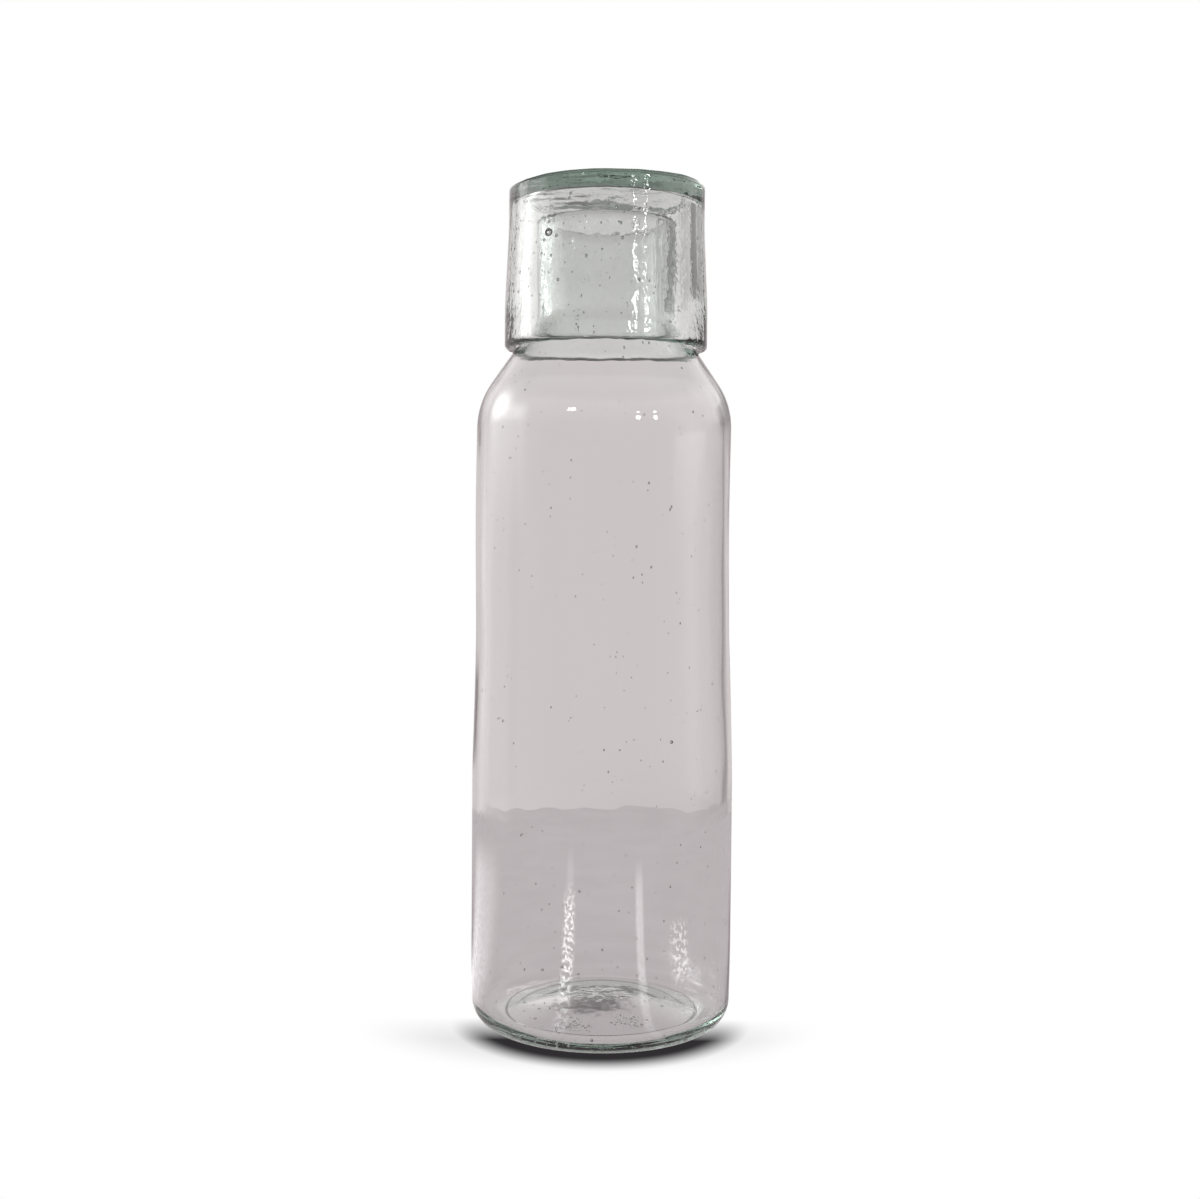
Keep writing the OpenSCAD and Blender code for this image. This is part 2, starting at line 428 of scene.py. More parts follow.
def carafe_profile(sizes, blown):
    """The carafe's outline from the axis under the base, up the outside and back down inside."""
    lip_z = CARAFE_HIGH.z
    lip_round = blown.lip_round_share * sizes.neck_wall
    punt_radius = sizes.foot_radius - sizes.heel_radius - sizes.ring_width
    inner_foot = sizes.foot_radius - sizes.body_wall
    floor_edge = inner_foot - sizes.floor_corner
    under = dome(punt_radius, 0, sizes.punt_rise, blown.base_step)
    outside = rounded(
        [(under[-2].x, under[-2].y, 0), (punt_radius, 0, blown.ring_round)]
        + [(sizes.foot_radius, 0, sizes.heel_radius)]
        + carafe_side(sizes, 0, 0)
        + [(sizes.neck_radius, lip_z, lip_round), (sizes.neck_radius - lip_round, lip_z, 0)],
        blown.bend_step,
    )
    inside = rounded(
        [(sizes.neck_radius - lip_round, lip_z, 0)]
        + [(sizes.neck_radius - sizes.neck_wall, lip_z, lip_round)]
        + carafe_side(sizes, sizes.body_wall, sizes.neck_wall)[::-1]
        + [(inner_foot, sizes.floor_thickness, sizes.floor_corner)]
        + [(floor_edge, sizes.floor_thickness, 0)],
        blown.bend_step,
    )
    floor = dome(floor_edge, sizes.floor_thickness, sizes.floor_rise, blown.profile_step)[::-1]
    return under[:-1], outside, inside + floor


def tumbler_side(sizes, wall):
    """The tumbler's side at a distance inside its outer face, from the rim up to the foot."""
    rim = TUMBLER_HIGH.x
    return [
        (rim - wall, TUMBLER_LOW.z + sizes.band_height, sizes.blend),
        (rim - sizes.draw_in - wall, TUMBLER_HIGH.z - sizes.shank_height, sizes.blend),
    ]


def tumbler_profile(sizes, blown):
    """The upturned tumbler's outline from the axis inside, down to the rim and up outside."""
    rim = TUMBLER_HIGH.x
    foot = rim - sizes.draw_in
    low, high = TUMBLER_LOW.z, TUMBLER_HIGH.z
    inside_z = high - sizes.foot_thickness
    rim_round = blown.lip_round_share * sizes.wall
    ring_radius = foot - sizes.edge_radius - sizes.ring_width
    inside = rounded(
        [(0, inside_z, 0), (foot - sizes.thick_wall, inside_z, sizes.corner_radius)]
        + tumbler_side(sizes, sizes.thick_wall)[::-1]
        + [(rim - sizes.wall, low, rim_round), (rim - rim_round, low, 0)],
        blown.bend_step,
    )
    outside = rounded(
        [(rim - rim_round, low, 0), (rim, low, rim_round)]
        + tumbler_side(sizes, 0)
        + [(foot, high, sizes.edge_radius), (ring_radius, high, 0)],
        blown.bend_step,
    )
    top = swell(ring_radius, high, -sizes.kick, blown.profile_step)
    return inside, outside + top


def profile_mesh(name, stretches, step, marks):
    """A line of edges along the profile, with how strong each mark is at each of its points."""
    line = []
    values = {label: [] for label in MARKS}
    for stretch in stretches:
        fine = refined(stretch, step)
        # A stretch starts where the one before it ends
        fine = fine[1:] if line else fine
        line += fine
        for label in MARKS:
            values[label] += [marks[label](spot, stretch) for spot in fine]
    mesh = bpy.data.meshes.new(name)
    mesh.from_pydata([(p.x, 0, p.y) for p in line], [(i, i + 1) for i in range(len(line) - 1)], [])
    for label in MARKS:
        attribute = mesh.attributes.new(label, "FLOAT", "POINT")
        attribute.data.foreach_set("value", values[label])
    return mesh


class Tree:
    """Adds nodes to a tree and links them, with short calls."""

    def __init__(self, tree):
        self.tree = tree

    def node(self, kind, inputs=(), **settings):
        """A node with its settings, and with its inputs by name or number: sockets or values."""
        made = self.tree.nodes.new(kind)
        for name, value in settings.items():
            setattr(made, name, value)
        for key, value in dict(inputs).items():
            if isinstance(value, bpy.types.NodeSocket):
                self.tree.links.new(value, made.inputs[key])
            else:
                made.inputs[key].default_value = value
        return made

    def socket(self, name, kind, default=None, in_out="INPUT"):
        """A named socket of the group."""
        made = self.tree.interface.new_socket(name, in_out=in_out, socket_type=kind)
        if default is not None:
            made.default_value = default

    def maths(self, operation, *values):
        """The result of a Math node."""
        inputs = dict(enumerate(values))
        return self.node("ShaderNodeMath", inputs, operation=operation).outputs[0]

    def product(self, first, *others):
        """Numbers multiplied with each other."""
        for other in others:
            first = self.maths("MULTIPLY", first, other)
        return first

    def ramp(self, value, low, high, start=0.0, end=1.0, soft=False):
        """A number that goes from start to end while the value goes from low to high."""
        ends = {"From Min": low, "From Max": high, "To Min": start, "To Max": end}
        kind = "SMOOTHSTEP" if soft else "LINEAR"
        made = self.node("ShaderNodeMapRange", {"Value": value} | ends, interpolation_type=kind)
        return made.outputs[0]

    def vector(self, operation, a, b):
        """The result of a Vector Math node with a vector for its second input."""
        made = self.node("ShaderNodeVectorMath", {0: a, 1: b}, operation=operation)
        return made.outputs[0]

    def scaled(self, vector, scale):
        """A vector times a number."""
        inputs = {0: vector, "Scale": scale}
        return self.node("ShaderNodeVectorMath", inputs, operation="SCALE").outputs[0]

    def distance(self, spot, other=(0.0, 0.0, 0.0)):
        """How far a place is from another, or from the origin."""
        made = self.node("ShaderNodeVectorMath", {0: spot, 1: other}, operation="DISTANCE")
        return made.outputs["Value"]

    def parts(self, vector):
        """The X, Y and Z of a vector, by name."""
        return self.node("ShaderNodeSeparateXYZ", {0: vector}).outputs

    def joined(self, **parts):
        """A vector from its X, Y and Z. One that isn't given is 0."""
        return self.node("ShaderNodeCombineXYZ", parts).outputs[0]

    def drawn_out(self, spot, stretch):
        """A place at which a pattern comes out taller than wide, stretch times."""
        scale = self.joined(X=1.0, Y=1.0, Z=self.maths("DIVIDE", 1.0, stretch))
        return self.vector("MULTIPLY", spot, scale)

    def noise(self, spot, width, detail=0.0):
        """Noise from 0 to 1, whose bumps are about that wide."""
        inputs = {"Vector": spot, "Scale": self.maths("DIVIDE", 1.0, width), "Detail": detail}
        return self.node("ShaderNodeTexNoise", inputs).outputs[0]

    def mark(self, label):
        """How strong one of the profile's marks is on the skin."""
        return self.node("GeometryNodeInputNamedAttribute", {"Name": label}).outputs[0]

    def moved(self, geometry, offset):
        """The geometry with each of its points moved by an offset."""
        inputs = {"Geometry": geometry, "Offset": offset}
        return self.node("GeometryNodeSetPosition", inputs).outputs[0]


def turned_skin(tree, given, profile):
    """The profile turned round the axis, as one closed skin."""
    size = tree.node("GeometryNodeAttributeDomainSize", {0: profile})
    columns = tree.maths("ADD", given["Segments"], 1)
    grid = tree.node(
        "GeometryNodeMeshGrid", {"Vertices X": size.outputs["Point Count"], "Vertices Y": columns}
    ).outputs[0]
    index = tree.node("GeometryNodeInputIndex").outputs[0]
    # Half a point more keeps a rounding error from falling back to the row before
    row = tree.maths("FLOOR", tree.maths("DIVIDE", tree.maths("ADD", index, 0.5), columns))
    column = tree.maths("SUBTRACT", index, tree.product(row, columns))
    at_row = {"Geometry": profile, "Index": row}
    spot = tree.node("GeometryNodeInputPosition").outputs[0]
    along = tree.node(
        "GeometryNodeSampleIndex", at_row | {"Value": spot}, data_type="FLOAT_VECTOR"
    ).outputs[0]
    # A negative turn makes the faces point outwards
    angle = tree.maths("DIVIDE", tree.product(column, -math.tau), given["Segments"])
    turned = tree.node("ShaderNodeVectorRotate", {"Vector": along, "Angle": angle}).outputs[0]
    skin = tree.node("GeometryNodeSetPosition", {"Geometry": grid, "Position": turned}).outputs[0]
    for label in MARKS:
        carried = tree.node("GeometryNodeSampleIndex", at_row | {"Value": tree.mark(label)})
        stored = {"Geometry": skin, "Name": label, "Value": carried.outputs[0]}
        skin = tree.node("GeometryNodeStoreNamedAttribute", stored).outputs[0]
    return tree.node(
        "GeometryNodeMergeByDistance", {"Geometry": skin, "Distance": SAME_POINT}
    ).outputs[0]


def waved_skin(tree, given, skin):
    """The skin with broad waves, fine upright waves and ragged bumps, all into the glass."""
    spot = tree.node("GeometryNodeInputPosition").outputs[0]
    in_noise = tree.vector("ADD", spot, given["Waves"])
    fine = tree.noise(tree.drawn_out(in_noise, given["Ripple Stretch"]), given["Ripple Width"])
    broad = tree.noise(in_noise, given["Swell Width"])
    rough = tree.noise(in_noise, given["Ragged Width"], detail=1.0)
    ripples = tree.product(fine, given["Ripple Depth"])
    swells = tree.product(broad, given["Swell Depth"])
    waves = tree.product(tree.maths("ADD", ripples, swells), tree.mark("ripple"))
    bumps = tree.product(rough, tree.mark("raggedness"), given["Ragged Depth"])
    inward = tree.product(tree.maths("ADD", waves, bumps), -1.0)
    normal = tree.node("GeometryNodeInputNormal").outputs[0]
    return tree.moved(skin, tree.scaled(normal, inward))


def bowed(tree, given, glass):
    """The glass with its chest to the left of the axis, as a piece blown by hand has it."""
    spot = tree.node("GeometryNodeInputPosition").outputs[0]
    above = tree.maths("SUBTRACT", tree.parts(spot)["Z"], given["Bow Height"])
    away = tree.maths("DIVIDE", above, given["Bow Reach"])
    fall = tree.maths("EXPONENT", tree.product(away, away, -1.0))
    return tree.moved(glass, tree.joined(X=tree.product(fall, given["Bow"], -1.0)))


def tilted(tree, given, glass):
    """The glass with its top face leaning to the left, and with less lean the lower it is."""
    parts = tree.parts(tree.node("GeometryNodeInputPosition").outputs[0])
    weight = tree.ramp(parts["Z"], given["Tilt Low"], given["Tilt High"])
    # The right edge stays where it is, and the rest sinks
    past_edge = tree.maths("SUBTRACT", parts["X"], given["Tilt Edge"])
    return tree.moved(glass, tree.joined(Z=tree.product(past_edge, given["Tilt Slope"], weight)))


def air(tree, radius, subdivisions):
    """A ball of air, whose faces point into it and so out of the glass."""
    ball = tree.node(
        "GeometryNodeMeshIcoSphere", {"Radius": radius, "Subdivisions": subdivisions}
    ).outputs[0]
    return tree.node("GeometryNodeFlipFaces", {"Mesh": ball}).outputs[0]


def seeds(tree, given, skin):
    """Seeds of air scattered under the faces, with more of them in the base and its clusters."""
    spot = tree.node("GeometryNodeInputPosition").outputs[0]
    crowd = tree.mark("seeding")
    count = tree.maths("ADD", tree.product(crowd, given["Base Seed Count"]), given["Seed Count"])
    for name in ("Left Cluster", "Right Cluster"):
        near = tree.ramp(tree.distance(spot, given[name]), given["Cluster Radius"], 0.0)
        dense = tree.maths("POWER", near, given["Cluster Fade"])
        count = tree.maths("ADD", count, tree.product(dense, given["Cluster Count"]))
    drawn = {"Seed": given["Random Seed"]}
    points = tree.node(
        "GeometryNodeDistributePointsOnFaces", {"Mesh": skin, "Density": count} | drawn
    ).outputs
    luck = tree.node("FunctionNodeRandomValue", drawn, data_type="FLOAT").outputs["Value"]
    rare = tree.maths("POWER", luck, given["Seed Rarity"])
    plain = tree.ramp(rare, 0.0, 1.0, given["Smallest Seed"], given["Largest Seed"])
    growth = tree.maths("ADD", tree.product(crowd, given["Base Seed Growth"]), 1.0)
    radius = tree.product(plain, growth)
    tall = tree.product(radius, given["Seed Stretch"])
    depth = tree.maths("ADD", tall, given["Seed Cover"])
    sunk = tree.moved(points["Points"], tree.scaled(points["Normal"], tree.product(depth, -1.0)))
    scale = tree.joined(X=radius, Y=radius, Z=tall)
    return tree.node(
        "GeometryNodeInstanceOnPoints",
        {"Points": sunk, "Instance": air(tree, 1.0, SEED_ROUNDNESS), "Scale": scale},
    ).outputs[0]


def blown_glass_tree():
    """The nodes that turn a profile into a piece of seeded, rippled, blown glass."""
    group = bpy.data.node_groups.new("blown glass", "GeometryNodeTree")
    tree = Tree(group)
    tree.socket("Geometry", "NodeSocketGeometry")
    numbers = (
        "Swell Width", "Swell Depth", "Ripple Width", "Ripple Depth", "Ripple Stretch",
        "Ragged Width", "Ragged Depth", "Bow", "Bow Height", "Bow Reach",
        "Tilt Low", "Tilt High", "Tilt Edge", "Tilt Slope",
        "Seed Count", "Base Seed Count", "Cluster Count", "Cluster Radius", "Cluster Fade",
        "Smallest Seed", "Largest Seed", "Seed Rarity", "Base Seed Growth", "Seed Cover",
        "Seed Stretch", "Bubble Radius",
    )
    for name in numbers:
        tree.socket(name, "NodeSocketFloat", 1.0)
    for name in ("Segments", "Random Seed"):
        tree.socket(name, "NodeSocketInt")
    for name in ("Waves", "Bubble", "Left Cluster", "Right Cluster"):
        tree.socket(name, "NodeSocketVector")
    tree.socket("Glass", "NodeSocketMaterial")
    tree.socket("Geometry", "NodeSocketGeometry", in_out="OUTPUT")
    given = tree.node("NodeGroupInput").outputs
    skin = waved_skin(tree, given, turned_skin(tree, given, given["Geometry"]))
    ball = air(tree, given["Bubble Radius"], BUBBLE_ROUNDNESS)
    bubble = tree.node(
        "GeometryNodeTransform", {"Geometry": ball, "Translation": given["Bubble"]}
    ).outputs[0]
    join = tree.node("GeometryNodeJoinGeometry")
    for part in (skin, seeds(tree, given, skin), bubble):
        group.links.new(part, join.inputs[0])
    whole = tree.node("GeometryNodeRealizeInstances", {0: join.outputs[0]}).outputs[0]
    shaped = tilted(tree, given, bowed(tree, given, whole))
    smooth = tree.node("GeometryNodeSetShadeSmooth", {0: shaped}).outputs[0]
    glass = tree.node(
        "GeometryNodeSetMaterial", {"Geometry": smooth, "Material": given["Glass"]}
    ).outputs[0]
    tree.node("NodeGroupOutput", {0: glass})
    return group


def blow(name, profile, inputs):
    """A finished piece of glass as a plain mesh, made from its profile by the tree's nodes."""
    group = bpy.data.node_groups.get("blown glass") or blown_glass_tree()
    rough = bpy.data.objects.new(name + "_profile", profile)
    bpy.context.scene.collection.objects.link(rough)
    modifier = rough.modifiers.new("blown glass", "NODES")
    modifier.node_group = group
    for item in group.interface.items_tree:
        if item.in_out == "INPUT" and item.name in inputs:
            modifier[item.identifier] = inputs[item.name]
    graph = bpy.context.evaluated_depsgraph_get()
    mesh = bpy.data.meshes.new_from_object(rough.evaluated_get(graph))
    mesh.name = name
    rough.modifiers.remove(modifier)
    bpy.data.objects.remove(rough)
    piece = bpy.data.objects.new(name, mesh)
    bpy.context.scene.collection.objects.link(piece)
    return piece


def glass_inputs(blown):
    """The tree's inputs that both pieces share."""
    return {
        "Segments": blown.round_segments,
        "Swell Width": blown.swell_width,
        "Swell Depth": blown.swell_depth,
        "Ripple Width": blown.ripple_width,
        "Ripple Depth": blown.ripple_depth,
        "Ripple Stretch": blown.ripple_stretch,
        "Ragged Width": blown.ragged_width,
        "Ragged Depth": blown.ragged_depth,
        "Cluster Radius": blown.cluster_radius,
        "Cluster Fade": blown.cluster_fade,
        "Base Seed Growth": blown.base_seed_growth,
        "Smallest Seed": blown.seed_small,
        "Largest Seed": blown.seed_large,
        "Seed Rarity": blown.seed_rarity,
        "Seed Cover": blown.seed_cover,
        "Seed Stretch": blown.seed_stretch,
    }


# Marks of a cold tool: their width, how much longer than wide they are, and their depth
Chill = namedtuple("Chill", "width stretch depth")
# The patches in which they lie are far taller than wide, because their pattern has this
# share of its scale along each axis
PATCH_SHARES = (1.0, 1.0, 0.12)
# Noise at which a patch starts, and from which it is full
PATCH_START, PATCH_FULL = 0.32, 0.50
# The same of a smear
SMEAR_START, SMEAR_FULL = 0.50, 0.75


def handled_glass_group():
    """Height of the chill marks and mask of the smears, for every kind of glass here."""
    group = bpy.data.node_groups.get("handled glass")
    if group:
        return group
    group = bpy.data.node_groups.new("handled glass", "ShaderNodeTree")
    tree = Tree(group)
    for name in ("Chill Width", "Chill Stretch", "Chill Patch", "Smear Width"):
        tree.socket(name, "NodeSocketFloat", 1.0)
    for name in ("Height", "Smear"):
        tree.socket(name, "NodeSocketFloat", in_out="OUTPUT")
    given = tree.node("NodeGroupInput").outputs
    spot = tree.node("ShaderNodeTexCoord").outputs["Object"]
    tall_spot = tree.drawn_out(spot, given["Chill Stretch"])
    marks = tree.noise(tall_spot, given["Chill Width"], detail=1.0)
    cloud = tree.noise(tree.vector("MULTIPLY", spot, PATCH_SHARES), given["Chill Patch"])
    patch = tree.ramp(cloud, PATCH_START, PATCH_FULL, soft=True)
    chilled = tree.node("ShaderNodeAttribute", attribute_name="chill").outputs["Fac"]
    smear = tree.noise(spot, given["Smear Width"], detail=3.0)
    mask = tree.ramp(smear, SMEAR_START, SMEAR_FULL)
    tree.node("NodeGroupOutput", {"Height": tree.product(marks, patch, chilled), "Smear": mask})
    return group


def glass_material(name, look, density, chill):
    """Clear glass that is green where it is thick, with chill marks and faint smears."""
    material = bpy.data.materials.new(name)
    material.use_nodes = True
    material.node_tree.nodes.clear()
    tree = Tree(material.node_tree)
    handled = tree.node(
        "ShaderNodeGroup",
        {
            "Chill Width": chill.width,
            "Chill Stretch": chill.stretch,
            "Chill Patch": look.chill_patch,
            "Smear Width": look.smear_width,
        },
        node_tree=handled_glass_group(),
    ).outputs
    bump = tree.node("ShaderNodeBump", {"Height": handled["Height"], "Distance": chill.depth})
    surface = tree.node(
        "ShaderNodeBsdfPrincipled",
        {
            "Base Color": (*look.clear, 1.0),
            "Roughness": tree.product(handled["Smear"], look.smear_roughness),
            "IOR": look.index,
            "Transmission Weight": 1.0,
            "Normal": bump.outputs[0],
        },
    )
    volume = tree.node(
        "ShaderNodeVolumeAbsorption", {"Color": (*look.green, 1.0), "Density": density}
    )
    tree.node(
        "ShaderNodeOutputMaterial", {"Surface": surface.outputs[0], "Volume": volume.outputs[0]}
    )
    return material


class CARAFE_OT_carafe(bpy.types.Operator):
    """Blows the carafe: body, sloping shoulder, neck, rounded lip and pushed-up base"""

    bl_idname = "carafe.carafe"
    bl_label = "Carafe"

    def execute(self, context):
        made = context.scene.carafe_scene
        sizes, blown, look = made.carafe, made.blown, made.look
        under, outside, inside = carafe_profile(sizes, blown)
        seeded_top = blown.base_seed_reach * (sizes.floor_thickness + sizes.floor_rise)

        def ripple(spot, stretch):
            settle = min(1.0, spot.y / sizes.floor_thickness)
            return 1.0 if stretch is inside else blown.outside_ripple * settle

        def seeding(spot, stretch):
            return max(0.0, 1.0 - spot.y / seeded_top)

        def raggedness(spot, stretch):
            scarred = stretch is under and spot.x < blown.scar_radius
            return 1.0 - (spot.x / blown.scar_radius) ** blown.scar_edge if scarred else 0.0

        def chill(spot, stretch):
            reached = (spot.y - look.chill_low) / (look.chill_full - look.chill_low)
            return min(1.0, max(0.0, reached))

        marks = {
            "ripple": ripple,
            "seeding": seeding,
            "raggedness": raggedness,
            "chill": chill,
        }
        tool_marks = Chill(look.chill_width, look.chill_stretch, look.chill_depth)
        profile = profile_mesh(
            "carafe_profile", (under, outside, inside), blown.profile_step, marks
        )
        inputs = glass_inputs(blown) | {
            "Seed Count": blown.seed_count,
            "Base Seed Count": blown.base_seed_count,
            "Cluster Count": blown.cluster_count,
            "Left Cluster": blown.cluster_left,
            "Right Cluster": blown.cluster_right,
            "Bow": sizes.bow,
            "Bow Height": sizes.bow_height,
            "Bow Reach": sizes.bow_reach,
            "Tilt Slope": 0.0,
            "Bubble": blown.carafe_bubble,
            "Bubble Radius": blown.carafe_bubble_radius,
            "Random Seed": blown.carafe_draw,
            "Glass": glass_material("carafe_glass", look, look.carafe_density, tool_marks),
        }
        piece = blow("blown_carafe", profile, inputs)
        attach(piece, "carafe")
        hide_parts("carafe")
        return {"FINISHED"}


class CARAFE_OT_tumbler(bpy.types.Operator):
    """Blows the tumbler, which is turned over the neck with its heavy foot on top"""

    bl_idname = "carafe.tumbler"
    bl_label = "Tumbler"

    def execute(self, context):
        made = context.scene.carafe_scene
        sizes, blown, look = made.tumbler, made.blown, made.look
        inside, outside = tumbler_profile(sizes, blown)
        rim_top = TUMBLER_LOW.z + sizes.wall / 2
        foot_face = TUMBLER_HIGH.z - sizes.edge_radius

        def ripple(spot, stretch):
            if stretch is inside:
                return 1.0
            return blown.foot_ripple if spot.y > foot_face else blown.outside_ripple

        def seeding(spot, stretch):
            return 0.0

        def raggedness(spot, stretch):
            at_rim = max(0.0, (rim_top - spot.y) / (rim_top - TUMBLER_LOW.z))
            return at_rim * blown.rim_raggedness

        def chill(spot, stretch):
            return 1.0 if stretch is outside and rim_top < spot.y < foot_face else 0.0

        marks = {
            "ripple": ripple,
            "seeding": seeding,
            "raggedness": raggedness,
            "chill": chill,
        }
        tool_marks = Chill(
            look.tumbler_chill_width, look.tumbler_chill_stretch, look.tumbler_chill
        )
        profile = profile_mesh("tumbler_profile", (inside, outside), blown.tumbler_step, marks)
        inputs = glass_inputs(blown) | {
            "Base Seed Count": 0.0,
            "Cluster Count": 0.0,
            "Seed Count": blown.tumbler_seed_count,
            "Smallest Seed": blown.seed_small * blown.tumbler_seed_growth,
            "Largest Seed": blown.seed_large * blown.tumbler_seed_growth,
            "Bow": 0.0,
            "Tilt Low": TUMBLER_HIGH.z - sizes.foot_thickness,
            "Tilt High": TUMBLER_HIGH.z,
            "Tilt Edge": TUMBLER_HIGH.x - sizes.draw_in,
            "Tilt Slope": math.tan(sizes.foot_tilt),
            "Bubble": blown.tumbler_bubble,
            "Bubble Radius": blown.tumbler_bubble_radius,
            "Random Seed": blown.tumbler_draw,
            "Waves": blown.tumbler_waves,
            "Glass": glass_material("tumbler_glass", look, look.tumbler_density, tool_marks),
        }
        piece = blow("blown_tumbler", profile, inputs)
        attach(piece, "tumbler")
        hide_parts("tumbler")
        return {"FINISHED"}


def faded(tree, core, reach, middle, width=1.0, wavering=0.0):
    """A mask on a level surface: 0 round its middle, and 1 from a radius on."""
    spot = tree.node("ShaderNodeTexCoord").outputs["Object"]
    gap = tree.vector("MULTIPLY", tree.vector("SUBTRACT", spot, middle), (1 / width, 1.0, 1.0))
    away = tree.maths("ADD", tree.distance(gap), wavering)
    return tree.ramp(away, core, reach, soft=True)


def within(tree, value, edge, softness):
    """1 where a value is less than the edge away from 0, and 0 past it, with a soft change."""
    outer = tree.maths("ADD", edge, softness)
    inner = tree.maths("SUBTRACT", edge, softness)
    return tree.ramp(tree.maths("ABSOLUTE", value), outer, inner, soft=True)


def past_azimuth(tree, direction, azimuth):
    """How far a direction lies to the right of an azimuth, as an angle."""
    back = tree.product(azimuth, -1.0)
    turned = tree.node("ShaderNodeVectorRotate", {"Vector": direction, "Angle": back}).outputs[0]
    parts = tree.parts(turned)
    return tree.maths("ARCTAN2", parts["X"], tree.product(parts["Y"], -1.0))


# Numbers of a Mix node's sockets for colours: the two that it mixes, and the result
MIX_FIRST, MIX_SECOND, MIX_RESULT = 6, 7, 2


def blended(tree, factor, first, second):
    """A colour between two, which are colours or sockets."""
    inputs = {0: factor}
    for number, colour in ((MIX_FIRST, first), (MIX_SECOND, second)):
        linked = isinstance(colour, bpy.types.NodeSocket)
        inputs[number] = colour if linked else (*colour, 1.0)
    return tree.node("ShaderNodeMix", inputs, data_type="RGBA").outputs[MIX_RESULT]


def brightened(tree, tone, glow):
    """A tone with white light added, as strong as glow."""
    return tree.vector("ADD", tone, tree.scaled(WHITE, glow))


def glowing(name):
    """An empty material that gives out its own light, its nodes, and its socket for colour."""
    material = bpy.data.materials.new(name)
    material.use_nodes = True
    material.node_tree.nodes.clear()
    tree = Tree(material.node_tree)
    glow = tree.node("ShaderNodeEmission")
    tree.node("ShaderNodeOutputMaterial", {"Surface": glow.outputs[0]})
    return material, tree, glow.inputs["Color"]


def floor_material(stage):
    """Pale floor that gives out its own light, with the base's soft shadow painted into its colour, which
    falls to the front.
    """
    material, tree, colour = glowing("pale_floor")
    spot = tree.node("ShaderNodeTexCoord").outputs["Object"]
    # Painted shadow: darker round the base and only in front of the axis, with a faint painted fringe
    front = tree.ramp(tree.parts(spot)["Y"], stage.shadow_back, -stage.shadow_front)
    edge = faded(tree, stage.shadow_core, stage.shadow_reach, stage.shadow_place)
    near = tree.maths("SUBTRACT", 1.0, edge)
    outer = faded(tree, stage.shadow_fringe_core, stage.shadow_fringe_reach, stage.shadow_fringe_place, stage.shadow_fringe_width)
    faint = tree.product(tree.maths("SUBTRACT", 1.0, outer), stage.shadow_fringe_share)
    shade = tree.product(tree.maths("MAXIMUM", near, faint), front)
    tree.tree.links.new(blended(tree, shade, WHITE, stage.shadow_colour), colour)
    return material


def glare_mask(tree, spot, glare, grain):
    """Mask of one glare painted on the table times its strength."""
    half_width = math.radians(glare.width) / 2
    aside = past_azimuth(tree, spot, math.radians(glare.azimuth))
    across = within(tree, aside, half_width, half_width * GLARE_SOFTNESS_SHARE)
    half_length = (glare.far - glare.near) / 2
    beyond = tree.maths("SUBTRACT", tree.distance(spot), (glare.near + glare.far) / 2)
    along = within(tree, beyond, half_length, half_length * GLARE_SOFTNESS_SHARE)
    bits = tree.noise(spot, grain, detail=1.0)
    broken = tree.ramp(bits, GLARE_GAPS, GLARE_WHOLE, start=1 - glare.broken)
    shape = tree.maths("MAXIMUM", tree.product(across, along, broken), 0.0)
    return tree.product(shape, glare.strength)


# Ray depth of what the first face mirrors. The room counts as one step further than the table.
TABLE_DEPTH = 1
ROOM_DEPTH = 2
# Crossings of a face on the way straight through one glass wall, its hollow and the other
# wall. A seed in the way adds two, and with the second piece in the way there are eight.
STRAIGHT_FEWEST, STRAIGHT_MOST = 4, 6
# Depths and crossings are whole numbers, and this lies between one and the next
HALF_STEP = 0.5


def first_mirrored(tree, path, depth):
    """1 where the outer face of the glass mirrors what is shaded, and 0 where it is seen through."""
    first = tree.maths("LESS_THAN", path["Ray Depth"], depth + HALF_STEP)
    return tree.product(path["Is Glossy Ray"], first)


def seen_straight(tree, path):
    """1 where the room shows straight through both walls of one piece, with nothing mirrored."""
    crossed = path["Transmission Depth"]
    enough = tree.maths("GREATER_THAN", crossed, STRAIGHT_FEWEST - HALF_STEP)
    few = tree.maths("LESS_THAN", crossed, STRAIGHT_MOST + HALF_STEP)
    mirrors = tree.maths("SUBTRACT", path["Ray Depth"], crossed)
    plain = tree.maths("LESS_THAN", mirrors, ROOM_DEPTH - HALF_STEP)
    return tree.product(enough, few, plain)


# What noise from 0 to 1 comes to on average
NOISE_MIDDLE = 0.5


